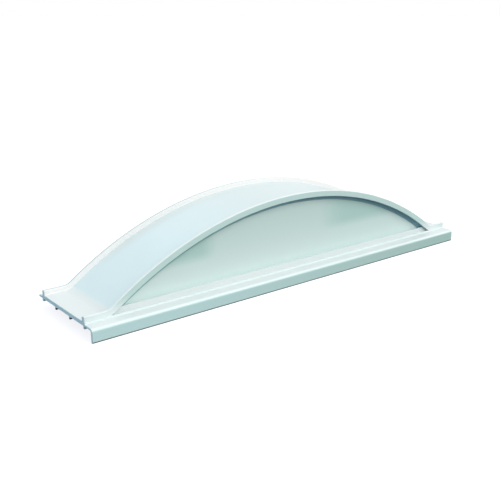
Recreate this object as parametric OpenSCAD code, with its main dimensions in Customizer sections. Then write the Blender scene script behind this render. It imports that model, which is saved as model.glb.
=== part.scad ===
// Low arched roof section: a U-channel arch with recessed side panels on a sill with a drip flange.

/* [Sill] */
// Overall length of the sill
sill_length = 1200; // [900:10:1800]
// Spacing of the two locating ribs, measured over their outer faces
rib_spacing = 212.5; // [180:0.5:260]
// Wall of the sill profile
sill_wall = 4; // [2.5:0.5:4.5]
// Front ledge, from the front rib to the face of the drip flange
ledge_depth = 32.5; // [24:0.5:50]
// Rear ledge, from the rear rib to the rear edge
rear_ledge = 18; // [8:0.5:40]
// Drop of the drip flange below the sill's top face
flange_drop = 32.5; // [20:0.5:50]
// Outside radius of the flange's bend
bend_radius = 8; // [5:0.5:10]
// Thickness of a locating rib
rib_wall = 2; // [1.5:0.5:3]
// Height of a locating rib
rib_height = 4; // [3:0.5:6]
// Depth of the lower stubs below the plate
stub_depth = 6.5; // [5:0.5:8]
// Thickness of the lower stubs
stub_wall = 6; // [4:0.5:8]

/* [Arch channel] */
// Height of the arch's crown above the sill's top face
arch_rise = 194.5; // [170:0.5:220]
// Distance from each end of the sill to the foot of the arch
foot_inset = 61.5; // [50:0.5:90]
// Outside height of the channel section
channel_height = 15; // [13:0.5:18]
// Thickness of the channel's web
web_wall = 3; // [2.5:0.5:4]
// Thickness of the channel's fins
fin_wall = 8; // [6:0.5:9]
// Radius of the bend at each foot, on the channel's upper side
foot_radius = 30; // [20:1:40]
// Thickness of the bedding tape under the channel's flat ends
tape_thickness = 1.5; // [1:0.25:2]

/* [Side panels] */
// Thickness of a side panel
panel_thickness = 4; // [3:0.5:5]
// Recess of a panel behind the arch's face
panel_recess = 14; // [13:0.5:18]
// Height of a track's outer upstand above the sill's top face
upstand_height = 16; // [13:0.5:18]
// Setback of a track's outer upstand behind the arch's face
upstand_setback = 7; // [5:0.5:7.5]
// Visible height of the edge gasket below the arch
gasket_height = 11; // [8:0.5:13]

/* [Sealing beads and screws] */
// Diameter of the round sealing beads under the sill
bead_d = 5.5; // [4.5:0.5:6]
// Shank diameter of the screws
screw_d = 3.5; // [3:0.5:4]
// Head diameter of the screws
screw_head_d = 7; // [6:0.5:8]
// Number of screws along each track and each retaining strip
screws_per_side = 7; // [5:2:9]

/* [Hidden] */
$fn = 96;
far = 4000;
cut = 1;

shell_white = [0.86, 0.93, 0.94];
panel_white = [0.76, 0.84, 0.83];
seal_slate = [0.33, 0.44, 0.49];
seal_black = [0.06, 0.06, 0.07];
steel_grey = [0.62, 0.64, 0.66];

half_length = sill_length / 2;
rib_face = rib_spacing / 2;
front_edge = rib_face + ledge_depth;
rear_edge = rib_face + rear_ledge;
// The model's origin is under the middle of the sill, level with the flange's lower edge
origin_y = (ledge_depth - rear_ledge) / 2;
origin_z = flange_drop;

// Side view of the arch: a circle through the crown and both feet
tail_top = tape_thickness + channel_height;
half_span = half_length - foot_inset;
sagitta = arch_rise - tail_top;
arch_radius = (half_span * half_span + sagitta * sagitta) / (2 * sagitta);
arch_centre_z = arch_rise - arch_radius;
soffit_radius = arch_radius - channel_height;
// Centre of the bend that joins an end to the arch
bend_z = tail_top + foot_radius;
bend_x = sqrt(pow(arch_radius + foot_radius, 2) - pow(bend_z - arch_centre_z, 2));
bend_angle = atan2(bend_x, bend_z - arch_centre_z);
// The bend's circle cuts this far past tangency, so that the outlines cross instead of grazing
blend_relief = 0.02;

// Distances inward from the outer face of a locating rib
arch_face = rib_wall;
panel_front = arch_face + panel_recess;
panel_back = panel_front + panel_thickness;
upstand_front = arch_face + upstand_setback;
upstand_wall = 4.5;
lip_wall = 1.5;
spine_wall = 1.5;
spine_setback = 1.5;
seal_drop = 2;
fit_gap = 0.5;
inner_upstand_wall = 3.5;
inner_upstand_height = 12;
track_base = 3;
track_depth = 38;
strip_wall = 3;
strip_leg = 14;
strip_front = panel_back + lip_wall + fit_gap;
strip_screw_y = strip_front + 9;
inner_upstand_front = strip_front;
track_screw_y = 31;
panel_radius = soffit_radius - spine_wall;
panel_half = sqrt(pow(panel_radius, 2) - pow(upstand_height - arch_centre_z, 2));
track_radius = panel_radius - fit_gap;
seal_half = panel_half - 20;

head_height = 2;
screw_clearance = 0.5;
web_bite = 2.5;
track_pitch = 150;
strip_pitch = 9.5;
tail_screw_x = half_length - 28;
tail_screw_ys = [-70, 0, 70];
seal_rib_top = 8;
seal_rib_tip = 4.5;
seal_rib_y = rib_spacing / 6;
bead_proud = 0.5;
bead_z = -sill_wall - stub_depth - bead_proud + bead_d / 2;
seal_rib_bottom = bead_z + 0.4;

module placed() {
    translate([0, origin_y, origin_z]) children();
}

// Extrudes an X-Z outline from one distance behind the front rib's face to another
module from_front(near, deep) {
    translate([0, -rib_face + deep, 0]) rotate([90, 0, 0]) linear_extrude(deep - near) children();
}

module to_rear() {
    mirror([0, 1, 0]) children();
}

// Extrudes a Y-Z outline along X between two places
module along_x(start, end) {
    translate([start, 0, 0]) rotate([90, 0, 90]) linear_extrude(end - start) children();
}

module ring(outer, inner) {
    difference() {
        circle(outer, $fn = 360);
        circle(inner, $fn = 360);
    }
}

// Sector of the arch between two radii, out to an angle on both sides of the crown
module arch_sector(outer, inner, angle) {
    translate([0, arch_centre_z]) intersection() {
        ring(outer, inner);
        polygon([[0, 0], [far * sin(angle), far * cos(angle)], [-far * sin(angle), far * cos(angle)]]);
    }
}

// Everything under a circle about the arch's centre and above a level
module arch_segment(radius, level) {
    intersection() {
        translate([0, arch_centre_z]) circle(radius, $fn = 360);
        translate([-far, level]) square([2 * far, far]);
    }
}

// Band of the arch between two radii, down to a level
module arch_band(outer, inner, level) {
    difference() {
        arch_segment(outer, level);
        translate([0, arch_centre_z]) circle(inner, $fn = 360);
    }
}

// A segment with its corners at both feet filled by a tangent bend
module blended_segment(radius, level) {
    blend_x = radius * sin(bend_angle);
    blend_z = arch_centre_z + radius * cos(bend_angle);
    arch_segment(radius, level);
    for (side = [0, 1]) mirror([side, 0]) difference() {
        polygon([[bend_x, level], [bend_x, bend_z], [blend_x, blend_z], [blend_x, level]]);
        translate([bend_x, bend_z]) circle(bend_z - level + blend_relief, $fn = 360);
    }
}

// Side outline of the channel, from its underside up to the given height
module channel_side(height) {
    difference() {
        union() {
            translate([-half_length, tape_thickness]) square([sill_length, height]);
            blended_segment(soffit_radius + height, tape_thickness + height);
        }
        blended_segment(soffit_radius, tape_thickness);
    }
}

module sill_profile() {
    inner_radius = bend_radius - sill_wall;
    translate([-front_edge + bend_radius, -sill_wall]) square([front_edge + rear_edge - bend_radius, sill_wall]);
    translate([-front_edge, -flange_drop]) square([sill_wall, flange_drop - bend_radius]);
    translate([-front_edge + bend_radius, -bend_radius]) intersection() {
        ring(bend_radius, inner_radius);
        translate([-bend_radius - cut, 0]) square(bend_radius + cut);
    }
    for (side = [0, 1]) mirror([side, 0]) {
        translate([-rib_face, -cut]) square([rib_wall, rib_height + cut]);
        translate([-rib_face, -sill_wall - stub_depth]) square([stub_wall, stub_depth + cut]);
        difference() {
            polygon([[-seal_rib_y - seal_rib_top / 2, -sill_wall + cut / 2],
                     [-seal_rib_y - seal_rib_tip / 2, seal_rib_bottom],
                     [-seal_rib_y + seal_rib_tip / 2, seal_rib_bottom],
                     [-seal_rib_y + seal_rib_top / 2, -sill_wall + cut / 2]]);
            translate([-seal_rib_y, bead_z]) circle(bead_d / 2);
        }
    }
}

module track_profile() {
    translate([-rib_face + upstand_front, 0]) square([upstand_wall, upstand_height]);
    translate([-rib_face + inner_upstand_front, 0]) square([inner_upstand_wall, inner_upstand_height]);
    translate([-rib_face + upstand_front, 0]) square([track_depth - upstand_front, track_base]);
}

// Places of a row of screws along X
function track_screw_xs() = [for (i = [0 : screws_per_side - 1]) (i - (screws_per_side - 1) / 2) * track_pitch];

// Angles of a row of screws along the arch
function strip_screw_angles() = [for (i = [0 : screws_per_side - 1]) (i - (screws_per_side - 1) / 2) * strip_pitch];

module at_track_screws() {
    for (x = track_screw_xs()) translate([x, -rib_face + track_screw_y, 0]) children();
}

module at_tail_screws() {
    for (y = tail_screw_ys) translate([tail_screw_x, y, 0]) children();
}

// Puts children on the arch's underside, with +Z along the radius
module at_strip_screws() {
    for (a = strip_screw_angles())
        translate([0, -rib_face + strip_screw_y, arch_centre_z]) rotate([0, a, 0])
            translate([0, 0, soffit_radius]) children();
}

// Upward screw whose head meets the given level
module screw(level, length) {
    translate([0, 0, level]) cylinder(d = screw_d, h = length);
    translate([0, 0, level - head_height]) cylinder(d = screw_head_d, h = head_height);
}

module hole(level, length, diameter) {
    translate([0, 0, level]) cylinder(d = diameter, h = length);
}

module sill_holes() {
    clearance_d = screw_d + screw_clearance;
    for (side = [0, 1]) {
        mirror([0, side, 0]) at_track_screws() hole(-sill_wall - cut, sill_wall + 2 * cut, clearance_d);
        mirror([side, 0, 0]) at_tail_screws() hole(-sill_wall - cut, sill_wall + 2 * cut, clearance_d);
    }
}

module sill() {
    color(shell_white) placed() difference() {
        along_x(-half_length, half_length) sill_profile();
        sill_holes();
    }
}

module arch_channel() {
    color(shell_white) placed() difference() {
        union() {
            from_front(arch_face, rib_spacing - arch_face) channel_side(web_wall);
            from_front(arch_face, arch_face + fin_wall) channel_side(channel_height);
            to_rear() from_front(arch_face, arch_face + fin_wall) channel_side(channel_height);
        }
        for (side = [0, 1]) {
            mirror([0, side, 0]) at_strip_screws() hole(-cut, cut + web_bite, screw_d);
            mirror([side, 0, 0]) at_tail_screws() hole(tape_thickness - cut, cut + web_bite, screw_d);
        }
    }
}

module bedding_tape() {
    difference() {
        translate([bend_x, -rib_face + arch_face, 0])
            cube([half_length - bend_x, rib_spacing - 2 * arch_face, tape_thickness]);
        at_tail_screws() hole(-cut, tape_thickness + 2 * cut, screw_d);
    }
}

module left_bedding_tape() {
    color(shell_white) placed() mirror([1, 0, 0]) bedding_tape();
}

module right_bedding_tape() {
    color(shell_white) placed() bedding_tape();
}

module track() {
    difference() {
        intersection() {
            along_x(-half_length, half_length) track_profile();
            from_front(0, track_depth) arch_segment(track_radius, 0);
        }
        at_track_screws() hole(-cut, track_base + 2 * cut, screw_d);
    }
}

module front_track() {
    color(shell_white) placed() track();
}

module rear_track() {
    color(shell_white) placed() to_rear() track();
}

module panel() {
    from_front(panel_front, panel_back) intersection() {
        arch_segment(panel_radius, track_base);
        translate([-panel_half, 0]) square([2 * panel_half, far]);
    }
}

module front_panel() {
    color(panel_white) placed() panel();
}

module rear_panel() {
    color(panel_white) placed() to_rear() panel();
}

// Gasket that lines the arch's reveal and wraps the panel's curved edge
module edge_gasket() {
    lip_radius = soffit_radius - gasket_height;
    lips = [panel_front - lip_wall, panel_back];
    from_front(arch_face + spine_setback, panel_back + lip_wall)
        arch_band(soffit_radius, panel_radius, rib_height);
    for (lip = lips) from_front(lip, lip + lip_wall) arch_band(panel_radius + cut, lip_radius, rib_height);
}

module front_edge_gasket() {
    color(seal_slate) placed() edge_gasket();
}

module rear_edge_gasket() {
    color(seal_slate) placed() to_rear() edge_gasket();
}

module bottom_seal() {
    seal_front = upstand_front + upstand_wall;
    translate([-seal_half, -rib_face + seal_front, track_base])
        cube([2 * seal_half, panel_front - seal_front, upstand_height - seal_drop - track_base]);
}

module front_bottom_seal() {
    color(seal_slate) placed() bottom_seal();
}

module rear_bottom_seal() {
    color(seal_slate) placed() to_rear() bottom_seal();
}

// Curved angle behind the panel, fixed to the arch's underside
module retaining_strip() {
    strip_angle = strip_pitch * (screws_per_side - 1) / 2 + 2;
    difference() {
        union() {
            from_front(strip_front, strip_front + strip_leg)
                arch_sector(soffit_radius, soffit_radius - strip_wall, strip_angle);
            from_front(strip_front, strip_front + strip_wall)
                arch_sector(soffit_radius, soffit_radius - strip_leg, strip_angle);
        }
        at_strip_screws() hole(-strip_wall - cut, strip_wall + 2 * cut, screw_d);
    }
}

module front_retaining_strip() {
    color(shell_white) placed() retaining_strip();
}

module rear_retaining_strip() {
    color(shell_white) placed() to_rear() retaining_strip();
}

module front_strip_screws() {
    color(steel_grey) placed() at_strip_screws() screw(-strip_wall, strip_wall + web_bite);
}

module rear_strip_screws() {
    color(steel_grey) placed() to_rear() at_strip_screws() screw(-strip_wall, strip_wall + web_bite);
}

module front_track_screws() {
    color(steel_grey) placed() at_track_screws() screw(-sill_wall, sill_wall + track_base);
}

module rear_track_screws() {
    color(steel_grey) placed() to_rear() at_track_screws() screw(-sill_wall, sill_wall + track_base);
}

module tail_screws() {
    at_tail_screws() screw(-sill_wall, sill_wall + tape_thickness + web_bite);
}

module left_tail_screws() {
    color(steel_grey) placed() mirror([1, 0, 0]) tail_screws();
}

module right_tail_screws() {
    color(steel_grey) placed() tail_screws();
}

module seal_bead() {
    along_x(-half_length, half_length) translate([-seal_rib_y, bead_z]) circle(bead_d / 2);
}

module front_seal_bead() {
    color(seal_black) placed() seal_bead();
}

module rear_seal_bead() {
    color(seal_black) placed() to_rear() seal_bead();
}

sill();
arch_channel();
left_bedding_tape();
right_bedding_tape();
front_track();
rear_track();
front_panel();
rear_panel();
front_edge_gasket();
rear_edge_gasket();
front_bottom_seal();
rear_bottom_seal();
front_retaining_strip();
rear_retaining_strip();
front_strip_screws();
rear_strip_screws();
front_track_screws();
rear_track_screws();
left_tail_screws();
right_tail_screws();
front_seal_bead();
rear_seal_bead();
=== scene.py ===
"""Arched hutch roof section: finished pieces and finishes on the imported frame, with a plain studio stage."""

import math

import bmesh
import bpy
from mathutils import Matrix, Vector


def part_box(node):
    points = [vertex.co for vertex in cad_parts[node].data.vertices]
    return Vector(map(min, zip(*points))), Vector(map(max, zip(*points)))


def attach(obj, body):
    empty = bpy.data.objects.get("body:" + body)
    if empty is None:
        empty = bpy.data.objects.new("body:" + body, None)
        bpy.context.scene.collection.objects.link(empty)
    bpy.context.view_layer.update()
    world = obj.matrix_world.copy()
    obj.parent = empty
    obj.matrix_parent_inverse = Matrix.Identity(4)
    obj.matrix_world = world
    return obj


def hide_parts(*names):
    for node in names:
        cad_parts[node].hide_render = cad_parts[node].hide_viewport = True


bl_info = {
    "name": "Arched Hutch Roof",
    "version": (1, 0, 0),
    "blender": (4, 5, 0),
    "location": "View3D > Sidebar > Hutch Roof",
    "description": "Builds the sill, arch channel, panels, seals and screws of an arched hutch roof section",
    "category": "Object",
}

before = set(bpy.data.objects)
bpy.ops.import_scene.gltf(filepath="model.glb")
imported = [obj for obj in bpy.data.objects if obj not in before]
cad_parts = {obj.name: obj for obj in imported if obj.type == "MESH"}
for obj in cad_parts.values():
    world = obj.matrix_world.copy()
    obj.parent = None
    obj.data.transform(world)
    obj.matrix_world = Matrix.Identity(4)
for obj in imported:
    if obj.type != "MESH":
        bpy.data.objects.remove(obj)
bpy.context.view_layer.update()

MM = 0.001
ACROSS = Vector((0, 1, 0))
ARCH_STEPS = 120
BEND_STEPS = 14
BEAD_STEPS = 28
SMOOTH_ANGLE = math.radians(32)
SIDES = ("front", "rear")
ENDS = ("left", "right")
# Facets of a bead that stay free above its widest point, on either side of the rib that sits on it
FREE_FACETS = 2
# A pan head's outline: how far down it and how wide, as parts of its height and radius
HEAD_STEPS = ((0.55, 1.0), (0.85, 0.88), (1.0, 0.66))
# How much the drive socket's six lobes stand out, and how much a screw's shank narrows
SOCKET_LOBE = 0.13
SHANK_TAPER = 0.84
FLOOR_RADIUS = 60.0

# Where the painted light and shade tints change, in metres along, across and up; each pair goes from no change to
# full change
TOP_ALONG = (-0.38, 0.0)
WEB_CORNER_ACROSS = (0.055, 0.095)
WEB_CORNER_LEFT = (-0.50, -0.36)
WEB_CORNER_RIGHT = (0.02, -0.10)
PANEL_LEAN_ALONG = (0.0, 0.32)
RIGHT_CORNER_ALONG = (0.08, 0.19)
RIGHT_CORNER_UP = (0.102, 0.132)
LEFT_CORNER_ALONG = (-0.232, -0.290)
LEFT_CORNER_UP = (0.098, 0.130)
RUBBER_ALONG = (-0.05, -0.25)

# Where the dome's light changes, as parts of a direction's rise and of its reach to the right
GROUND_LINE = (-0.03, -0.015)
WHITE_BAND = (0.34, 0.48)
DOME_RISE = (0.15, 0.9)
DOME_SWEEP = (-0.8, 0.5)
WHITE = (1.0, 1.0, 1.0)


def length(name, description, default, low=0.0):
    """A size property in metres."""
    return bpy.props.FloatProperty(
        name=name, description=description, default=default, min=low, precision=5, unit="LENGTH"
    )


def colour(name, description, default):
    """A linear colour property."""
    return bpy.props.FloatVectorProperty(
        name=name, description=description, default=default, size=3, min=0.0, max=1.0, subtype="COLOR"
    )


def amount(name, description, default, low=0.0, high=1.0):
    """A plain number property."""
    return bpy.props.FloatProperty(
        name=name, description=description, default=default, min=low, max=high
    )


class HutchShellSettings(bpy.types.PropertyGroup):
    """Sizes and colours of the sill, the arch channel and the tracks."""

    sill_wall: length("Sill wall", "Thickness of the sill profile", 4 * MM)
    rib_wall: length("Rib wall", "Thickness of a locating rib", 2 * MM)
    rib_height: length("Rib height", "Height of a locating rib above the sill", 4 * MM)
    stub_wall: length("Stub wall", "Thickness of the lower stubs", 6 * MM)
    stub_depth: length("Stub depth", "Depth of the lower stubs below the plate", 6.5 * MM)
    nose_radius: length("Nose radius", "Outside radius of the drip flange's bend", 8 * MM)
    foot_round: length("Flange foot rounding", "Rounding of the flange's lower outer edge", 0.6 * MM)
    seal_rib_top: length("Seal rib root", "Width of a seal rib at the plate", 8 * MM)
    web_wall: length("Web wall", "Thickness of the channel's web", 3 * MM)
    fin_wall: length("Fin wall", "Thickness of the channel's fins", 8 * MM)
    fin_round: length("Fin rounding", "Rounding of the fins' upper edges", 2 * MM)
    channel_height: length("Channel height", "Outside height of the channel section", 15 * MM)
    foot_radius: length("Foot radius", "Bend radius on the channel's upper side", 30 * MM)
    upstand_wall: length("Upstand wall", "Thickness of a track's outer upstand", 4.5 * MM)
    inner_upstand_wall: length("Inner upstand wall", "Thickness of a track's inner upstand", 3.5 * MM)
    inner_upstand_height: length("Inner upstand height", "Height of the inner upstand", 12 * MM)
    inner_upstand_setback: length("Inner upstand setback", "From the outer upstand's face", 13 * MM)
    track_base: length("Track base", "Thickness of a track's base", 3 * MM)
    # Painted shade: the side faces take a darker, greener copy of the shell colour than the upper faces.
    side_shade_colour: colour("Arch sides", "Colour of the arch's side faces", (0.58, 0.76, 0.735))
    # Painted shade: the flange's face is a darker copy of the shell colour, darker still towards the right.
    flange_shade_colour: colour("Flange, left", "Colour of the drip flange's face at its left end", (0.55, 0.76, 0.77))
    flange_far_shade_colour: colour("Flange, right", "Colour of the flange's face at its right end", (0.43, 0.61, 0.58))
    # Painted light: the upper faces are lighter than the sides, as light falls on them, and bluer on the left.
    top_lit_colour: colour("Upper faces", "Colour of the bleached upper faces on the left", (0.655, 0.775, 0.80))
    top_far_lit_colour: colour("Upper faces, right", "Colour of the upper faces from the crown on", (0.63, 0.70, 0.71))
    # Painted light: the level faces of the sill and tails are lighter and whiter, as where light falls on them.
    ledge_lit_colour: colour("Ledge", "Colour of the flat upper faces of the sill and tails", (0.69, 0.72, 0.72))
    # Painted light: the tracks' upper faces get a lit tint of their own.
    rail_lit_colour: colour("Track tops", "Colour of the tracks' upper faces", (0.58, 0.66, 0.65))
    # Painted shade: a dark line along the flange's foot, standing in for the shade under its lower edge.
    foot_shade_colour: colour("Foot edge", "Colour of the dark soft edge along the flange's foot", (0.06, 0.075, 0.08))
    # Partly painted shade: the sawn end faces are matt, and their cool blue also stands in for the shade on the end
    # that faces away from the light.
    sawn_and_shade_colour: colour("Cut ends", "Colour of the sawn end faces", (0.56, 0.80, 0.93))
    # Painted shade: a darker strip on the faces round the left cut, where that end is out of the light.
    left_end_shade_colour: colour("Left arris", "Colour of the worn edge round the left cut", (0.30, 0.43, 0.49))
    # Painted shade: a darker band on the rear fin's outer upper edge, where its rounding turns away from the light.
    rim_shade_colour: colour("Rear rim", "Colour of the grime along the rear fin's upper edge", (0.42, 0.47, 0.48))
    # Painted light: the fins' inner faces are lighter, for light bounced off the web.
    inner_bounce_colour: colour("Inner faces", "Colour of the fins' inner faces", (0.76, 0.80, 0.80))
    # Painted light: the rear fin's inner face is much lighter, for light bounced off the web.
    fin_face_bounce_colour: colour("Rear fin's face", "Colour of the rear fin's inner face", (0.84, 0.805, 0.795))
    # Painted shade: the web darkens along the foot of the rear fin, where the fin shades it.
    corner_shade_colour: colour("Web's rear corner", "Colour of the web along the rear fin", (0.63, 0.695, 0.70))
    # Painted highlight: the fins' upper edges are whiter, as where light catches them.
    fin_top_lit_colour: colour("Fin tops", "Colour of the fins' upper edges", (0.74, 0.775, 0.775))
    # Painted light: faces just above the ledge are lighter, for the light bounced up off it.
    low_bounce_colour: colour("Low faces", "Colour of the faces next to the ledge", (0.73, 0.80, 0.80))
    shade_colour: colour("Weathered", "Colour that the duller patches lean to", (0.52, 0.64, 0.66))
    shell_roughness: amount("Shell roughness", "Roughness of the clean shell", 0.34)


class HutchPanelSettings(bpy.types.PropertyGroup):
    """Colours of the side panels."""

    # Painted light and shade: a panel is lighter near its foot, for light bounced off the ledge, and darker near the
    # arch, under its overhang.
    panel_colour: colour("Panel", "Colour of a panel near its foot", (0.69, 0.82, 0.80))
    panel_shade: colour("Panel, upper part", "Colour of a panel near the arch", (0.565, 0.72, 0.70))
    # Painted shade: a panel's upper corners next to the arch are darker still.
    panel_deep: colour("Panel, deep shade", "Colour of a panel's duller upper corners", (0.45, 0.65, 0.615))
    panel_roughness: amount("Panel roughness", "Roughness of a panel", 0.42)


class HutchSealSettings(bpy.types.PropertyGroup):
    """Sizes and colours of the gaskets, seals, tapes and beads."""

    gasket_height: length("Gasket height", "Height of the gasket below the arch's underside", 11 * MM)
    lip_wall: length("Gasket lip", "Thickness of a gasket lip", 1.5 * MM)
    spine_wall: length("Gasket spine", "Thickness of the gasket's spine", 1.5 * MM)
    lip_round: length("Lip rounding", "Rounding of the gasket's free edges", 0.5 * MM)
    slate: colour("Slate rubber", "Colour of the gaskets and bottom seals", (0.215, 0.40, 0.47))
    # Painted light: the slate rubber is paler and greener on the left, where the dark line under the arch reads as
    # lighter shade.
    slate_left_lit: colour("Slate rubber, left", "Colour of the rubber on the left", (0.28, 0.50, 0.50))
    slate_worn: colour("Slate rubber, worn", "Colour where the rubber has bloomed", (0.27, 0.46, 0.53))
    black: colour("Black rubber", "Colour of the sealing beads", (0.012, 0.013, 0.015))
    foam: colour("Foam tape", "Colour of the bedding tapes", (0.60, 0.66, 0.67))
    bead_bore: length("Bead bore", "Diameter of a sealing bead's hollow", 2.6 * MM)


class HutchFixingSettings(bpy.types.PropertyGroup):
    """Sizes and colour of the screws."""

    shank: length("Shank", "Diameter of a screw's shank", 3.5 * MM)
    head_height: length("Head height", "Height of a screw's head", 2 * MM)
    socket: length("Socket", "Mean diameter of the drive socket", 3.1 * MM)
    socket_depth: length("Socket depth", "Depth of the drive socket", 1.2 * MM)
    steel: colour("Steel", "Colour of the zinc-plated screws", (0.55, 0.57, 0.60))


class HutchStageSettings(bpy.types.PropertyGroup):
    """Camera, floor and studio light."""

    camera_place: bpy.props.FloatVectorProperty(
        name="Camera place",
        description="Where the camera stands",
        default=(-1.24596, -1.47690, 0.67193),
        subtype="TRANSLATION",
    )
    camera_tilt: bpy.props.FloatProperty(
        name="Camera tilt", description="Angle below level", default=0.3090862, subtype="ANGLE"
    )
    camera_turn: bpy.props.FloatProperty(
        name="Camera turn", description="Turn about the vertical", default=-0.6708394, subtype="ANGLE"
    )
    lens: bpy.props.FloatProperty(name="Lens", description="Focal length in millimetres", default=54.63)
    floor_colour: colour("Floor", "Colour of the floor", (0.30, 0.30, 0.30))
    floor_glow: colour("Floor glow", "Light of the light-table floor", (0.80, 0.80, 0.83))
    left_colour: colour("Dome, left", "Colour of the dome on the left", (0.78, 0.93, 1.0))
    right_colour: colour("Dome, right", "Colour of the dome on the right", (1.0, 0.975, 0.985))
    sky_high: amount("Overhead light", "Brightness of the dome overhead", 0.96, high=10.0)
    sky_low: amount("Low light", "Brightness of the dome near the horizon", 0.90, high=10.0)
    sky_lean: amount("Lean", "How much brighter the dome is on the left than on the right", 0.16)
    under_light: amount("Light from below", "Brightness of the dome under the floor", 0.12, high=10.0)
    key_power: amount("Key power", "Strength of the soft key light", 1.6, high=20.0)
    key_spread: bpy.props.FloatProperty(
        name="Key spread", description="Apparent width of the key light", default=0.7, subtype="ANGLE"
    )
    key_colour: colour("Key", "Colour of the key light", (0.95, 1.0, 0.95))
    key_from: bpy.props.FloatVectorProperty(
        name="Key from", description="Direction that the key light comes from", default=(0.45, -0.62, 0.64)
    )


class HutchSettings(bpy.types.PropertyGroup):
    """All of the roof section's settings."""

    shell: bpy.props.PointerProperty(type=HutchShellSettings)
    panel: bpy.props.PointerProperty(type=HutchPanelSettings)
    seal: bpy.props.PointerProperty(type=HutchSealSettings)
    fixing: bpy.props.PointerProperty(type=HutchFixingSettings)
    stage: bpy.props.PointerProperty(type=HutchStageSettings)


# ---------------------------------------------------------------- places taken from the frame


class Layout:
    """Where the arch, the sill and the side faces are, worked out from the CAD nodes' boxes."""

    def __init__(self, shell):
        sill_low, sill_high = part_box("sill")
        tape_low, tape_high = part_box("right_bedding_tape")
        _, channel_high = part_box("arch_channel")
        self.half_length = sill_high.x
        self.flange_face = sill_low.y
        self.flange_foot = sill_low.z
        self.rear_edge = sill_high.y
        self.sill_top = sill_high.z - shell.rib_height
        self.arch_front = tape_low.y
        self.arch_rear = tape_high.y
        self.middle_y = (tape_low.y + tape_high.y) / 2
        self.tail_bottom = tape_high.z
        self.tail_top = tape_high.z + shell.channel_height
        self.bend_x = tape_low.x
        self.bend_z = self.tail_top + shell.foot_radius
        rise = self.bend_z - channel_high.z
        foot = shell.foot_radius
        self.arch_radius = (self.bend_x**2 + rise**2 - foot**2) / (2 * (foot - rise))
        self.arch_centre_z = channel_high.z - self.arch_radius
        self.bend_angle = math.atan2(self.bend_x, self.bend_z - self.arch_centre_z)
        self.soffit_radius = self.arch_radius - shell.channel_height

    def arc_x(self, radius, z):
        """Distance from the middle to a circle about the arch's centre at a height."""
        return math.sqrt(radius**2 - (z - self.arch_centre_z) ** 2)


def layout():
    """The layout for the present settings."""
    return Layout(bpy.context.scene.hutch.shell)


# ---------------------------------------------------------------- shaping helpers


def outline(corners, x):
    """Face in the plane across X from corners (y, z, rounding), with each corner rounded by a bevel."""
    bm = bmesh.new()
    points = [bm.verts.new((x, y, z)) for y, z, _ in corners]
    bm.faces.new(points)
    groups = {}
    for point, (_, _, rounding) in zip(points, corners):
        if rounding > 0:
            groups.setdefault(rounding, []).append(point)
    for rounding, members in groups.items():
        steps = max(3, round(rounding / MM) + 2)
        bmesh.ops.bevel(
            bm, geom=members, offset=rounding, offset_type="OFFSET", affect="VERTICES",
            segments=steps, profile=0.5, material=-1, clamp_overlap=False,
        )
    return bm


def end_face(bm):
    """The face that a sweep carries on from: the only one at first, then the last one made."""
    bm.faces.ensure_lookup_table()
    return bm.faces[0]


def pull(bm, face, along):
    """Extrudes a face by a straight distance and returns the new end face."""
    made = bmesh.ops.extrude_face_region(bm, geom=[face, *face.edges, *face.verts])["geom"]
    ends = [g for g in made if isinstance(g, bmesh.types.BMFace)]
    verts = [g for g in made if isinstance(g, bmesh.types.BMVert)]
    bmesh.ops.translate(bm, verts=verts, vec=along)
    return ends[0]


def swing(bm, face, centre, axis, angle, steps):
    """Sweeps a face round an axis and returns the new end face."""
    geometry = [face, *face.edges, *face.verts]
    last = bmesh.ops.spin(
        bm, geom=geometry, cent=centre, axis=axis, dvec=(0, 0, 0),
        angle=angle, steps=steps, use_duplicate=False,
    )["geom_last"]
    return [g for g in last if isinstance(g, bmesh.types.BMFace)][0]


def cut_level(bm, height):
    """Cuts away what is below a height and closes the cut."""
    cut = bmesh.ops.bisect_plane(
        bm, geom=[*bm.verts, *bm.edges, *bm.faces], dist=1e-6,
        plane_co=(0, 0, height), plane_no=(0, 0, -1), clear_outer=True,
    )["geom_cut"]
    edges = [g for g in cut if isinstance(g, bmesh.types.BMEdge)]
    bmesh.ops.edgeloop_fill(bm, edges=edges)


def turn_round(bm, middle_y):
    """Mirrors a whole piece across the plane between the front and rear sides."""
    centre = Matrix.Translation((0, middle_y, 0))
    bmesh.ops.transform(bm, matrix=centre @ Matrix.Scale(-1, 4, ACROSS) @ centre.inverted(), verts=bm.verts)


def settle(bm):
    """Merges doubles and points every face outwards."""
    bmesh.ops.remove_doubles(bm, verts=bm.verts, dist=1e-7)
    bmesh.ops.recalc_face_normals(bm, faces=bm.faces)


def make_piece(name, bm, finish, nodes):
    """Turns a bmesh into a piece that stands for its CAD nodes and rides on the root body."""
    settle(bm)
    mesh = bpy.data.meshes.new(name)
    bm.to_mesh(mesh)
    bm.free()
    mesh.polygons.foreach_set("use_smooth", [True] * len(mesh.polygons))
    mesh.set_sharp_from_angle(angle=SMOOTH_ANGLE)
    piece = bpy.data.objects.new(name, mesh)
    bpy.context.scene.collection.objects.link(piece)
    mesh.materials.append(finish)
    even = piece.modifiers.new("Even shading", "WEIGHTED_NORMAL")
    even.keep_sharp = True
    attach(piece, "root")
    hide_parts(*nodes)
    return piece


def dress_node(name, finish):
    """Gives a CAD node that is already the right shape its finish."""
    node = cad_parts[name]
    node.data.materials.clear()
    node.data.materials.append(finish)


# ---------------------------------------------------------------- finishes


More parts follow.
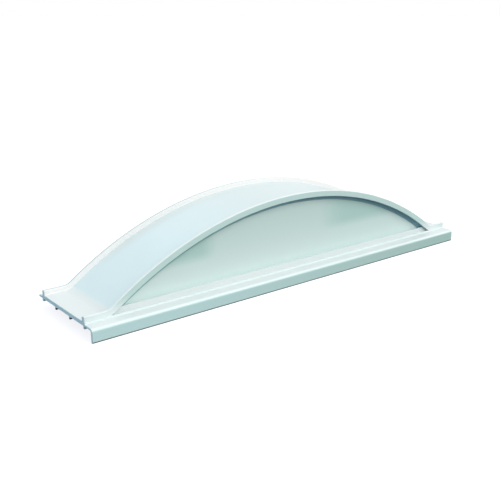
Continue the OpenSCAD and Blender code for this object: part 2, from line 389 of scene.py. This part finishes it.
class Field:
    """A number that varies over a surface; arithmetic on it adds Math nodes."""

    def __init__(self, maker, socket):
        self.maker = maker
        self.socket = socket

    def _math(self, operation, first, second):
        """The field that one Math node gives."""
        return self.maker.node("ShaderNodeMath", {"operation": operation}, {0: first, 1: second})

    def __add__(self, other):
        return self._math("ADD", self, other)

    def __radd__(self, other):
        return self._math("ADD", other, self)

    def __sub__(self, other):
        return self._math("SUBTRACT", self, other)

    def __rsub__(self, other):
        return self._math("SUBTRACT", other, self)

    def __mul__(self, other):
        return self._math("MULTIPLY", self, other)


class NodeMaker:
    """Adds nodes to one tree, each node's settings first and then its sockets."""

    def __init__(self, tree):
        self.tree = tree

    def node(self, kind, settings=None, sockets=None, output=0):
        """Adds a node and returns one of its outputs; a Field given for a socket is linked to it."""
        made = self.tree.nodes.new(kind)
        for key, value in (settings or {}).items():
            if key == "stops":
                ramp = made.color_ramp.elements
                for place, shade in value[len(ramp):]:
                    ramp.new(place).color = (*shade, 1)
                for stop, (place, shade) in zip(ramp, value):
                    stop.position = place
                    stop.color = (*shade, 1)
            else:
                setattr(made, key, value)
        for key, value in (sockets or {}).items():
            if isinstance(value, Field):
                self.tree.links.new(value.socket, made.inputs[key])
            else:
                made.inputs[key].default_value = value
        return Field(self, made.outputs[output])

    def blend(self, factor, first, second, mode="MIX"):
        """Colour between two colours."""
        pair = [c if isinstance(c, Field) else (*c, 1) for c in (first, second)]
        settings = {"data_type": "RGBA", "blend_type": mode, "clamp_factor": True}
        return self.node("ShaderNodeMix", settings, {0: factor, 6: pair[0], 7: pair[1]}, 2)

    def fade(self, value, low, high, start=0.0, end=1.0):
        """Smooth change from start to end as a number goes from low to high."""
        sockets = {0: value, 1: low, 2: high, 3: start, 4: end}
        return self.node("ShaderNodeMapRange", {"interpolation_type": "SMOOTHSTEP"}, sockets)


class Finish(NodeMaker):
    """One material round a Principled shader, with its patterns on Object coordinates."""

    def __init__(self, name, roughness, metallic=0.0, specular=0.5):
        self.material = bpy.data.materials.new(name)
        self.material.use_nodes = True
        super().__init__(self.material.node_tree)
        self.shader = self.tree.nodes["Principled BSDF"]
        self.shader.inputs["Roughness"].default_value = roughness
        self.shader.inputs["Metallic"].default_value = metallic
        self.shader.inputs["Specular IOR Level"].default_value = specular
        self.place = self.node("ShaderNodeTexCoord", output=3)

    def axis(self, index):
        """One of the Object coordinates, in metres."""
        return self.node("ShaderNodeSeparateXYZ", None, {0: self.place}, index)

    def facing(self, index):
        """How far the surface faces along an axis, from -1 to 1."""
        normal = self.node("ShaderNodeNewGeometry", output=1)
        return self.node("ShaderNodeSeparateXYZ", None, {0: normal}, index)

    def sawn(self):
        """1 on the faces that were cut square across, and 0 elsewhere."""
        end_on = self.node("ShaderNodeMath", {"operation": "ABSOLUTE"}, {0: self.facing(0)})
        return self.fade(end_on, 0.85, 0.97)

    def noise(self, scale, stretch=(1, 1, 1), detail=3.0, roughness=0.55):
        """Noise from 0 to 1, with its pattern stretched along an axis by a smaller number."""
        place = self.node("ShaderNodeMapping", None, {"Vector": self.place, "Scale": stretch})
        sockets = {"Vector": place, "Scale": scale, "Detail": detail, "Roughness": roughness}
        return self.node("ShaderNodeTexNoise", None, sockets)

    def relief(self, height, strength, distance):
        """Bumps the surface."""
        sockets = {"Strength": strength, "Distance": distance, "Height": height}
        bump = self.node("ShaderNodeBump", None, sockets)
        self.tree.links.new(bump.socket, self.shader.inputs["Normal"])

    def feed(self, socket, value):
        """Links a varying value to one of the shader's sockets."""
        self.tree.links.new(value.socket, self.shader.inputs[socket])


def shell_tint(made, shell, flat_lit_tint, flat_from):
    """The shell's colour by place, mostly painted light and shade: each line after the first lays a tint over those
    before it.
    """
    at = layout()
    along, across, height = made.axis(0), made.axis(1), made.axis(2)
    facing = made.facing(2)
    # Where the surface is: 1 inside the place that each is named after
    upward = made.fade(facing, 0.25, 0.75)
    within = made.fade(across, at.arch_front + 5 * MM, at.arch_front + 7 * MM)
    within = within * made.fade(across, at.arch_rear - 5 * MM, at.arch_rear - 7 * MM)
    near_ledge = made.fade(height, at.tail_top + 25 * MM, at.tail_top)
    near_web = made.fade(height, at.tail_bottom + 14 * MM, at.tail_bottom + 4 * MM)
    near_end = near_ledge * (1 - within) + near_web * within
    fin_face_bounce = made.fade(across, at.arch_rear - 9 * MM, at.arch_rear - 8.2 * MM) * within * (1 - upward)
    fin_top_lit = (1 - within) * upward * (1 - near_ledge)
    # Painted shade mask: the web along the rear fin, on the left half.
    corner = made.fade(across, *WEB_CORNER_ACROSS) * made.fade(along, *WEB_CORNER_LEFT)
    corner = corner * made.fade(along, *WEB_CORNER_RIGHT) * within * upward
    flat = made.fade(facing, flat_from, flat_from + 0.2) * near_ledge
    on_flange = made.fade(height, at.sill_top - 2 * MM, at.sill_top - 8 * MM)
    foot_shade = made.fade(height, at.flange_foot + 2.9 * MM, at.flange_foot + 2.1 * MM)
    # Painted shade mask: the outer part of the rear fin's upper edge.
    rim = made.fade(across, at.arch_rear - 5.2 * MM, at.arch_rear - 4.0 * MM) * upward
    rim = rim * made.fade(height, at.sill_top + 5 * MM, at.sill_top + 7 * MM)
    # Painted shade mask: the last millimetre or two of every face at the left cut.
    arris = made.fade(along, 1.9 * MM - at.half_length, 1.1 * MM - at.half_length)
    # The two tints that change from left to right: painted shade on the flange's face, darker towards the right, and
    # painted light on the upper faces
    end_to_end = made.fade(along, -at.half_length, at.half_length)
    flange = made.blend(end_to_end, shell.flange_shade_colour[:], shell.flange_far_shade_colour[:])
    # Painted light on the upper faces, bluer on the left and duller from the crown on.
    top = made.blend(made.fade(along, *TOP_ALONG), shell.top_lit_colour[:], shell.top_far_lit_colour[:])
    # Painted light: faces just above the ledge are lighter, for light bounced off it.
    # Painted shade: side faces start from the darker side colour.
    tint = made.blend(near_ledge, shell.side_shade_colour[:], shell.low_bounce_colour[:])
    # Painted light: inner faces of the channel are lighter, for light bounced off the web.
    tint = made.blend(within, tint, shell.inner_bounce_colour[:])
    # Painted light: faces that look up take the lighter upper tint.
    tint = made.blend(upward * (1 - near_end * 0.8), tint, top)
    # Painted light: the rear fin's inner face is lightened for light bounced off the web.
    tint = made.blend(fin_face_bounce, tint, shell.fin_face_bounce_colour[:])
    # Painted highlight on the fins' upper edges.
    tint = made.blend(fin_top_lit, tint, shell.fin_top_lit_colour[:])
    # Painted shade along the web's rear corner.
    tint = made.blend(corner, tint, shell.corner_shade_colour[:])
    # Painted light on the low level faces, and on the tracks on every face that looks up.
    tint = made.blend(flat, tint, flat_lit_tint)
    # Painted shade on the flange's face, darker towards the right.
    tint = made.blend(on_flange, tint, flange)
    # Painted shade line along the flange's foot.
    tint = made.blend(foot_shade, tint, shell.foot_shade_colour[:])
    # Painted shade on the rear fin's outer upper edge.
    tint = made.blend(rim, tint, shell.rim_shade_colour[:])
    # Painted shade round the left cut.
    tint = made.blend(arris, tint, shell.left_end_shade_colour[:])
    # Sawn end faces: their own colour, with a blue that is partly painted shade.
    return made.blend(made.sawn(), tint, shell.sawn_and_shade_colour[:])


def shell_finish(name, flat_lit_tint, flat_from):
    """Smooth pale shell, tinted by place with painted light and shade, with faint mottling, draw lines, dulled
    patches and fine rubbing.
    The tint given second is painted light for the low flat upper faces, and flat_from is how far up a face must look
    to take it."""
    shell = bpy.context.scene.hutch.shell
    made = Finish(name, shell.shell_roughness)
    mottle = made.noise(7, detail=5)
    lines = made.noise(14, stretch=(0.12, 14, 14), detail=2)
    grain = made.noise(420, detail=2)
    rub = made.noise(60, stretch=(0.3, 1, 1), detail=6, roughness=0.7)
    patch = made.fade(mottle, 0.42, 0.72)
    worn = made.fade(rub, 0.56, 0.74)
    tint = shell_tint(made, shell, flat_lit_tint, flat_from)
    made.feed("Base Color", made.blend(patch * 0.10 + lines * 0.05 + worn * 0.05, tint, shell.shade_colour[:]))
    made.feed("Roughness", shell.shell_roughness + patch * 0.05 + lines * 0.05 + worn * 0.09)
    made.relief(lines * 0.5 + grain * 0.35 + mottle * 0.6, 0.12, 0.4 * MM)
    return made.material


def panel_finish(name):
    """Matt cast panel: painted light and shade make it lighter towards its foot and darker in its upper corners;
    faintly clouded and pebbled.
    """
    panel = bpy.context.scene.hutch.panel
    made = Finish(name, panel.panel_roughness)
    low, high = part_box("front_panel")
    along, height = made.axis(0), made.axis(2)
    # Painted shade: the darkening near the arch reaches lower on the right.
    shade_lean = made.fade(along, *PANEL_LEAN_ALONG) * 22 * MM
    rise = made.fade(height + shade_lean, low.z, high.z)
    # Painted shade masks for the panel's upper corners under the arch.
    right_corner_shade = made.fade(along, *RIGHT_CORNER_ALONG) * made.fade(height, *RIGHT_CORNER_UP)
    left_corner_shade = made.fade(along, *LEFT_CORNER_ALONG) * made.fade(height, *LEFT_CORNER_UP)
    cloud = made.noise(5, detail=5)
    pebble = made.noise(300, detail=3)
    streak = made.noise(16, stretch=(1, 1, 0.1), detail=3)
    # Painted light and shade from the foot up to the arch.
    base = made.blend(rise, panel.panel_colour[:], panel.panel_shade[:])
    # Painted shade in the upper corners.
    base = made.blend(right_corner_shade + left_corner_shade, base, panel.panel_deep[:])
    dull = made.fade(cloud, 0.4, 0.75)
    made.feed("Base Color", made.blend(dull * 0.12 + streak * 0.05, base, panel.panel_shade[:]))
    made.feed("Roughness", panel.panel_roughness + dull * 0.07 + pebble * 0.05)
    made.relief(pebble * 0.5 + cloud, 0.10, 0.3 * MM)
    return made.material


def rubber_finish(name, tint, left_lit_tint, worn_tint, roughness=0.55):
    """Moulded rubber: fine grain, faint bloom, a few rubbed lines and a paler tint on the left, which is painted
    light.
    """
    made = Finish(name, roughness, specular=0.4)
    bloom = made.fade(made.noise(18, detail=5), 0.45, 0.75)
    grain = made.noise(700, detail=2)
    lines = made.noise(40, stretch=(0.05, 1, 1), detail=3)
    # Painted light: paler towards the left.
    tint = made.blend(made.fade(made.axis(0), *RUBBER_ALONG), tint, left_lit_tint)
    made.feed("Base Color", made.blend(bloom * 0.45 + lines * 0.15, tint, worn_tint))
    made.feed("Roughness", roughness + bloom * 0.10 + grain * 0.08 - lines * 0.04)
    made.relief(grain + lines * 0.4, 0.25, 0.15 * MM)
    return made.material


def foam_finish(name):
    """Closed-cell foam tape with small pores, bluer on its sawn ends, a blue that is partly painted shade."""
    tint = bpy.context.scene.hutch.seal.foam[:]
    # The sawn ends' tint, partly painted shade.
    sawn_and_shade_tint = bpy.context.scene.hutch.shell.sawn_and_shade_colour[:]
    made = Finish(name, 0.8, specular=0.25)
    cells = made.node("ShaderNodeTexVoronoi", None, {"Vector": made.place, "Scale": 1400.0})
    pores = made.fade(cells, 0.1, 0.5)
    cloud = made.noise(30, detail=4)
    base = made.blend(pores * 0.25 + cloud * 0.15, tint, [c * 0.72 for c in tint])
    made.feed("Base Color", made.blend(made.sawn(), base, [c * 0.85 for c in sawn_and_shade_tint]))
    made.feed("Roughness", 0.74 + cloud * 0.12)
    made.relief(pores, 0.3, 0.1 * MM)
    return made.material


def steel_finish(name):
    """Zinc-plated steel: faint passivation colour, turning marks and small dull spots."""
    tint = bpy.context.scene.hutch.fixing.steel[:]
    made = Finish(name, 0.32, metallic=1.0)
    cloud = made.noise(160, detail=5)
    marks = made.noise(900, stretch=(1, 1, 6), detail=2)
    spots = made.fade(cloud, 0.58, 0.75)
    dull_tint = [c * v for c, v in zip(tint, (0.80, 0.76, 0.62))]
    made.feed("Base Color", made.blend(spots * 0.5, tint, dull_tint))
    made.feed("Roughness", 0.27 + marks * 0.12 + spots * 0.22)
    made.relief(marks, 0.15, 0.05 * MM)
    return made.material


def finish_named(name, build, *settings):
    """A finish that is made once and then shared."""
    return bpy.data.materials.get(name) or build(name, *settings)


def shell_white():
    """The shell's finish, with its painted ledge light only on level faces."""
    return finish_named("shell_white", shell_finish, bpy.context.scene.hutch.shell.ledge_lit_colour[:], 0.8)


def track_white():
    """The shell's finish for the tracks, with painted light of their own on every face that looks up."""
    return finish_named("track_white", shell_finish, bpy.context.scene.hutch.shell.rail_lit_colour[:], 0.1)


def slate_rubber():
    """Rubber of the gaskets and bottom seals."""
    seal = bpy.context.scene.hutch.seal
    return finish_named("slate_rubber", rubber_finish, seal.slate[:], seal.slate_left_lit[:], seal.slate_worn[:])


def black_rubber():
    """Rubber of the sealing beads."""
    tint = bpy.context.scene.hutch.seal.black[:]
    return finish_named("black_rubber", rubber_finish, tint, tint, [c * 2.2 for c in tint], 0.48)


def zinc_steel():
    """Steel of the screws."""
    return finish_named("zinc_steel", steel_finish)


# ---------------------------------------------------------------- pieces


class HUTCH_OT_sill(bpy.types.Operator):
    """Draws the sill's section with its drip flange, ribs and stubs, and pulls it along its length"""

    bl_idname = "hutch.sill"
    bl_label = "Sill"

    def execute(self, context):
        shell = context.scene.hutch.shell
        at = layout()
        top = at.sill_top
        plate = top - shell.sill_wall
        stub = plate - shell.stub_depth
        bead_low, bead_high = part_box("front_seal_bead")
        bead_z = (bead_low.z + bead_high.z) / 2
        bead_radius = (bead_high.z - bead_low.z) / 2
        rib_y = at.middle_y - (bead_low.y + bead_high.y) / 2
        flange_back = at.flange_face + shell.sill_wall
        inner_bend = shell.nose_radius - shell.sill_wall
        front_rib = at.arch_front - shell.rib_wall
        rear_rib = at.arch_rear + shell.rib_wall
        crisp, soft, root = 0.7 * MM, 1.0 * MM, 0.6 * MM
        top_line = [
            (at.flange_face, at.flange_foot, shell.foot_round), (at.flange_face, top, shell.nose_radius),
            (front_rib, top, root), (front_rib, top + shell.rib_height, crisp),
            (at.arch_front, top + shell.rib_height, crisp), (at.arch_front, top, 0),
            (at.arch_rear, top, 0), (at.arch_rear, top + shell.rib_height, crisp),
            (rear_rib, top + shell.rib_height, crisp), (rear_rib, top, root),
            (at.rear_edge, top, soft), (at.rear_edge, plate, soft),
        ]
        lower_line = [
            (rear_rib, plate, root), (rear_rib, stub, soft),
            (rear_rib - shell.stub_wall, stub, soft), (rear_rib - shell.stub_wall, plate, root),
        ]
        for middle in (at.middle_y + rib_y, at.middle_y - rib_y):
            lower_line.append((middle + shell.seal_rib_top / 2, plate, root))
            # The rib's tip is a hollow that the bead's upper side sits in, facet on facet
            for step in range(FREE_FACETS, BEAD_STEPS // 2 - FREE_FACETS + 1):
                turn = 2 * math.pi * step / BEAD_STEPS
                y, z = middle + bead_radius * math.cos(turn), bead_z + bead_radius * math.sin(turn)
                lower_line.append((y, z, 0))
            lower_line.append((middle - shell.seal_rib_top / 2, plate, root))
        lower_line += [
            (front_rib + shell.stub_wall, plate, root), (front_rib + shell.stub_wall, stub, soft),
            (front_rib, stub, soft), (front_rib, plate, root),
            (flange_back, plate, inner_bend), (flange_back, at.flange_foot, 0.4 * MM),
        ]
        bm = outline(top_line + lower_line, -at.half_length)
        pull(bm, end_face(bm), (2 * at.half_length, 0, 0))
        make_piece("drip_sill", bm, shell_white(), ["sill"])
        return {"FINISHED"}


class HUTCH_OT_arch_channel(bpy.types.Operator):
    """Draws the channel's section and sweeps it along one tail, up over the arch and along the other tail"""

    bl_idname = "hutch.arch_channel"
    bl_label = "Arch channel"

    def execute(self, context):
        shell = context.scene.hutch.shell
        at = layout()
        web = at.tail_bottom + shell.web_wall
        low, high = at.tail_bottom, at.tail_top
        front_in = at.arch_front + shell.fin_wall
        rear_in = at.arch_rear - shell.fin_wall
        edge, rounded, root = 0.3 * MM, shell.fin_round, 1.2 * MM
        bm = outline(
            [
                (at.arch_front, low, edge), (at.arch_front, high, rounded), (front_in, high, rounded),
                (front_in, web, root), (rear_in, web, root), (rear_in, high, rounded),
                (at.arch_rear, high, rounded), (at.arch_rear, low, edge),
            ],
            -at.half_length,
        )
        tail = (at.half_length - at.bend_x, 0, 0)
        crown = (0, 0, at.arch_centre_z)
        face = pull(bm, end_face(bm), tail)
        face = swing(bm, face, (-at.bend_x, 0, at.bend_z), -ACROSS, at.bend_angle, BEND_STEPS)
        face = swing(bm, face, crown, ACROSS, 2 * at.bend_angle, ARCH_STEPS)
        face = swing(bm, face, (at.bend_x, 0, at.bend_z), -ACROSS, at.bend_angle, BEND_STEPS)
        pull(bm, face, tail)
        make_piece("arch_gutter", bm, shell_white(), ["arch_channel"])
        return {"FINISHED"}


class HUTCH_OT_bedding_tapes(bpy.types.Operator):
    """Makes the foam tapes that the channel's flat ends are bedded on"""

    bl_idname = "hutch.bedding_tapes"
    bl_label = "Bedding tapes"

    def execute(self, context):
        finish = finish_named("foam_tape", foam_finish)
        for end in ENDS:
            node = f"{end}_bedding_tape"
            low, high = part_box(node)
            round_edge = (high.z - low.z) * 0.4
            corners = [(low.y, low.z), (low.y, high.z), (high.y, high.z), (high.y, low.z)]
            bm = outline([(y, z, round_edge) for y, z in corners], low.x)
            pull(bm, end_face(bm), (high.x - low.x, 0, 0))
            make_piece(f"tape_{end}", bm, finish, [node])
        return {"FINISHED"}


class HUTCH_OT_tracks(bpy.types.Operator):
    """Makes the tracks that hold the panels' feet, with their ends trimmed to the arch"""

    bl_idname = "hutch.tracks"
    bl_label = "Tracks"

    def execute(self, context):
        shell = context.scene.hutch.shell
        at = layout()
        low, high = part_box("front_track")
        floor = low.z
        radius = math.hypot(high.x, low.z - at.arch_centre_z)
        base = floor + shell.track_base
        inner = low.y + shell.inner_upstand_setback
        inner_top = floor + shell.inner_upstand_height
        soft, root = 1.0 * MM, 0.6 * MM
        for side in SIDES:
            corners = [
                (low.y, floor, 0), (low.y, high.z, soft), (low.y + shell.upstand_wall, high.z, soft),
                (low.y + shell.upstand_wall, base, root), (inner, base, root), (inner, inner_top, soft),
                (inner + shell.inner_upstand_wall, inner_top, soft),
                (inner + shell.inner_upstand_wall, base, root), (high.y, base, soft), (high.y, floor, 0),
            ]
            bm = outline(corners, -high.x)
            pull(bm, end_face(bm), (2 * high.x, 0, 0))
            for vert in bm.verts:
                vert.co.x = math.copysign(at.arc_x(radius, vert.co.z), vert.co.x)
            if side == "rear":
                turn_round(bm, at.middle_y)
            make_piece(f"track_{side}", bm, track_white(), [f"{side}_track"])
        return {"FINISHED"}


class HUTCH_OT_panels(bpy.types.Operator):
    """Gives the side panels and the strips behind them their finishes"""

    bl_idname = "hutch.panels"
    bl_label = "Panels and retaining strips"

    def execute(self, context):
        finish = finish_named("panel_white", panel_finish)
        for side in SIDES:
            dress_node(f"{side}_panel", finish)
            dress_node(f"{side}_retaining_strip", shell_white())
        return {"FINISHED"}


class HUTCH_OT_edge_gaskets(bpy.types.Operator):
    """Sweeps the gaskets that line the arch's underside and wrap the panels' curved edges"""

    bl_idname = "hutch.edge_gaskets"
    bl_label = "Edge gaskets"

    def execute(self, context):
        seal = context.scene.hutch.seal
        at = layout()
        low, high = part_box("front_edge_gasket")
        panel_low, panel_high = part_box("front_panel")
        top = at.arch_centre_z + at.soffit_radius
        inner_low = top - seal.gasket_height
        spine = top - seal.spine_wall
        tip = seal.lip_round
        lip_front = panel_low.y - seal.lip_wall
        lip_rear = panel_high.y + seal.lip_wall
        # A real gasket wraps the panel's edge, but its dark spine also runs forward along the arch's underside,
        # standing in for the shade in the reveal under the arch's lip.
        section = [
            (low.y, top, 0), (low.y, spine, tip), (lip_front, spine, tip), (lip_front, inner_low, tip),
            (panel_low.y, inner_low, tip), (panel_low.y, spine, 0), (panel_high.y, spine, 0),
            (panel_high.y, inner_low, tip), (lip_rear, inner_low, tip), (lip_rear, top, 0),
        ]
        reach = math.acos((low.z - at.arch_centre_z) / at.soffit_radius) + 0.01
        centre = Vector((0, 0, at.arch_centre_z))
        for side in SIDES:
            bm = outline(section, 0)
            bmesh.ops.rotate(bm, verts=bm.verts, cent=centre, matrix=Matrix.Rotation(-reach, 3, "Y"))
            swing(bm, end_face(bm), centre, ACROSS, 2 * reach, ARCH_STEPS)
            cut_level(bm, low.z)
            if side == "rear":
                turn_round(bm, at.middle_y)
            make_piece(f"gasket_{side}", bm, slate_rubber(), [f"{side}_edge_gasket"])
        return {"FINISHED"}


class HUTCH_OT_bottom_seals(bpy.types.Operator):
    """Makes the seals between the panels' feet and the tracks' outer upstands"""

    bl_idname = "hutch.bottom_seals"
    bl_label = "Bottom seals"

    def execute(self, context):
        for side in SIDES:
            node = f"{side}_bottom_seal"
            low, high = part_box(node)
            crown = (high.y - low.y) * 0.4
            corners = [(low.y, low.z, 0), (low.y, high.z, crown), (high.y, high.z, crown), (high.y, low.z, 0)]
            bm = outline(corners, low.x)
            pull(bm, end_face(bm), (high.x - low.x, 0, 0))
            make_piece(f"foot_seal_{side}", bm, slate_rubber(), [node])
        return {"FINISHED"}


def add_screw(bm, matrix, radius, head, shank_top, fixing):
    """Adds one screw with its head's underside at the local origin, pointing along local +Z."""
    others = set(bm.verts)
    disc = bmesh.ops.create_circle(bm, cap_ends=True, segments=24, radius=radius)["verts"]
    face = disc[0].link_faces[0]
    level, reach = 0.0, radius
    for drop, width in HEAD_STEPS:
        face = pull(bm, face, (0, 0, -head * drop - level))
        bmesh.ops.scale(bm, vec=(radius * width / reach, radius * width / reach, 1), verts=face.verts)
        level, reach = -head * drop, radius * width
    bmesh.ops.inset_region(bm, faces=[face], thickness=reach - fixing.socket / 2)
    for vert in face.verts:
        lobe = 1 + SOCKET_LOBE * math.cos(6 * math.atan2(vert.co.y, vert.co.x))
        vert.co.x *= lobe
        vert.co.y *= lobe
    pull(bm, face, (0, 0, fixing.socket_depth))
    bmesh.ops.create_cone(
        bm, cap_ends=True, segments=16, radius1=fixing.shank / 2,
        radius2=fixing.shank / 2 * SHANK_TAPER, depth=shank_top, matrix=Matrix.Translation((0, 0, shank_top / 2)),
    )
    made = [vert for vert in bm.verts if vert not in others]
    bmesh.ops.transform(bm, matrix=matrix, verts=made)


class HUTCH_OT_screws(bpy.types.Operator):
    """Makes the pan-head screws that hold the tracks and the channel's tails, and dresses the inner ones"""

    bl_idname = "hutch.screws"
    bl_label = "Screws"

    def execute(self, context):
        fixing = context.scene.hutch.fixing
        groups = {f"{side}_track_screws": f"screws_track_{side}" for side in SIDES}
        groups.update({f"{end}_tail_screws": f"screws_tail_{end}" for end in ENDS})
        for node, name in groups.items():
            low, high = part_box(node)
            head_face = low.z + fixing.head_height
            bm = bmesh.new()
            for x, y, radius in screw_places(node):
                place = Matrix.Translation((x, y, head_face))
                add_screw(bm, place, radius, fixing.head_height, high.z - head_face, fixing)
            make_piece(name, bm, zinc_steel(), [node])
        for side in SIDES:
            dress_node(f"{side}_strip_screws", zinc_steel())
        return {"FINISHED"}


def screw_places(node):
    """Centre and head radius of each upright screw in a CAD node, from its loose shells."""
    bm = bmesh.new()
    bm.from_mesh(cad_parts[node].data)
    bmesh.ops.remove_doubles(bm, verts=bm.verts, dist=1e-6)
    left = set(bm.verts)
    places = []
    while left:
        group, edge = set(), {left.pop()}
        while edge:
            vert = edge.pop()
            group.add(vert)
            near = {e.other_vert(vert) for e in vert.link_edges} - group
            edge |= near
            left -= near
        xs = [v.co.x for v in group]
        ys = [v.co.y for v in group]
        places.append(((min(xs) + max(xs)) / 2, (min(ys) + max(ys)) / 2, (max(xs) - min(xs)) / 2))
    bm.free()
    return sorted(places)


class HUTCH_OT_seal_beads(bpy.types.Operator):
    """Makes the hollow rubber beads along the seal ribs"""

    bl_idname = "hutch.seal_beads"
    bl_label = "Sealing beads"

    def execute(self, context):
        bore = context.scene.hutch.seal.bead_bore / 2
        for side in SIDES:
            node = f"{side}_seal_bead"
            low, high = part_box(node)
            centre = (low + high) / 2
            radius = (high.z - low.z) / 2
            bm = bmesh.new()
            upright = Matrix.Translation((low.x, centre.y, centre.z)) @ Matrix.Rotation(math.pi / 2, 4, "Y")
            rims = []
            for size in (radius, bore):
                made = bmesh.ops.create_circle(bm, segments=BEAD_STEPS, radius=size, matrix=upright)
                rims += list({e for v in made["verts"] for e in v.link_edges})
            faces = bmesh.ops.bridge_loops(bm, edges=rims)["faces"]
            grown = bmesh.ops.extrude_face_region(bm, geom=faces)["geom"]
            verts = [g for g in grown if isinstance(g, bmesh.types.BMVert)]
            bmesh.ops.translate(bm, verts=verts, vec=(high.x - low.x, 0, 0))
            make_piece(f"bead_{side}", bm, black_rubber(), [node])
        return {"FINISHED"}


# ---------------------------------------------------------------- stage


class HUTCH_OT_stage(bpy.types.Operator):
    """Sets up the pale floor, the soft dome and side light, and the camera"""

    bl_idname = "hutch.stage"
    bl_label = "Stage"

    def execute(self, context):
        stage = context.scene.hutch.stage
        context.scene.view_settings.view_transform = "Standard"
        self.lay_floor(stage)
        self.light_dome(context.scene, stage)
        self.hang_key(context.scene, stage)
        self.stand_camera(context.scene, stage)
        return {"FINISHED"}

    def lay_floor(self, stage):
        """Wide pale floor with a faint glow of its own."""
        bm = bmesh.new()
        bmesh.ops.create_circle(bm, cap_ends=True, segments=64, radius=FLOOR_RADIUS)
        mesh = bpy.data.meshes.new("floor")
        bm.to_mesh(mesh)
        bm.free()
        floor = bpy.data.objects.new("floor", mesh)
        bpy.context.scene.collection.objects.link(floor)
        made = Finish("floor_paper", 0.9, specular=0.1)
        made.shader.inputs["Base Color"].default_value = (*stage.floor_colour, 1)
        made.shader.inputs["Emission Color"].default_value = (*stage.floor_glow, 1)
        made.shader.inputs["Emission Strength"].default_value = 1.0
        mesh.materials.append(made.material)
        # The floor shows and takes shadows, but throws no light back up on to the object
        floor.visible_diffuse = False
        floor.visible_glossy = False

    def light_dome(self, scene, stage):
        """Even dome, plain white up to well above the horizon, with little light from below."""
        scene.world = bpy.data.worlds.new("studio_dome")
        scene.world.use_nodes = True
        made = NodeMaker(scene.world.node_tree)
        direction = made.node("ShaderNodeTexCoord", output=0)
        across = made.node("ShaderNodeSeparateXYZ", None, {0: direction}, 0)
        height = made.node("ShaderNodeSeparateXYZ", None, {0: direction}, 2)
        above = made.fade(height, *GROUND_LINE)
        horizon = made.fade(height, *WHITE_BAND, 1.0, 0.0)
        dome = made.fade(height, *DOME_RISE, stage.sky_low, stage.sky_high) * (1.0 - across * stage.sky_lean)
        level = above * (horizon + (1 - horizon) * dome) + (1 - above) * stage.under_light
        background = scene.world.node_tree.nodes["Background"]
        tint = made.blend(made.fade(across, *DOME_SWEEP), stage.left_colour[:], stage.right_colour[:])
        tint = made.blend(horizon, tint, WHITE)
        made.tree.links.new(tint.socket, background.inputs["Color"])
        made.tree.links.new(level.socket, background.inputs["Strength"])

    def hang_key(self, scene, stage):
        """Wide soft key from the front right."""
        data = bpy.data.lights.new("key", "SUN")
        data.angle = stage.key_spread
        data.energy = stage.key_power
        data.color = stage.key_colour
        key = bpy.data.objects.new("key", data)
        key.rotation_euler = (-Vector(stage.key_from)).to_track_quat("-Z", "Y").to_euler()
        scene.collection.objects.link(key)

    def stand_camera(self, scene, stage):
        """Camera with a lens for a full-frame sensor."""
        data = bpy.data.cameras.new("camera")
        data.lens = stage.lens
        data.sensor_width = 36.0
        data.clip_end = 200.0
        camera = bpy.data.objects.new("camera", data)
        camera.location = stage.camera_place
        camera.rotation_euler = (math.pi / 2 - stage.camera_tilt, 0, stage.camera_turn)
        scene.collection.objects.link(camera)
        scene.camera = camera


STEPS = (
    HUTCH_OT_sill,
    HUTCH_OT_arch_channel,
    HUTCH_OT_bedding_tapes,
    HUTCH_OT_tracks,
    HUTCH_OT_panels,
    HUTCH_OT_edge_gaskets,
    HUTCH_OT_bottom_seals,
    HUTCH_OT_screws,
    HUTCH_OT_seal_beads,
    HUTCH_OT_stage,
)


class HUTCH_PT_parts(bpy.types.Panel):
    """Lists the roof section's pieces"""

    bl_label = "Hutch Roof"
    bl_space_type = "VIEW_3D"
    bl_region_type = "UI"
    bl_category = "Hutch Roof"

    def draw(self, context):
        for step in STEPS:
            self.layout.operator(step.bl_idname)


CLASSES = (
    HutchShellSettings,
    HutchPanelSettings,
    HutchSealSettings,
    HutchFixingSettings,
    HutchStageSettings,
    HutchSettings,
    *STEPS,
    HUTCH_PT_parts,
)


def register():
    """Adds the settings, operators and panel."""
    for item in CLASSES:
        bpy.utils.register_class(item)
    bpy.types.Scene.hutch = bpy.props.PointerProperty(type=HutchSettings)


def unregister():
    """Takes them away again."""
    del bpy.types.Scene.hutch
    for item in reversed(CLASSES):
        bpy.utils.unregister_class(item)


def main():
    """Builds every piece and the stage."""
    register()
    for step in STEPS:
        group, name = step.bl_idname.split(".")
        getattr(getattr(bpy.ops, group), name)()


if __name__ == "__main__":
    main()
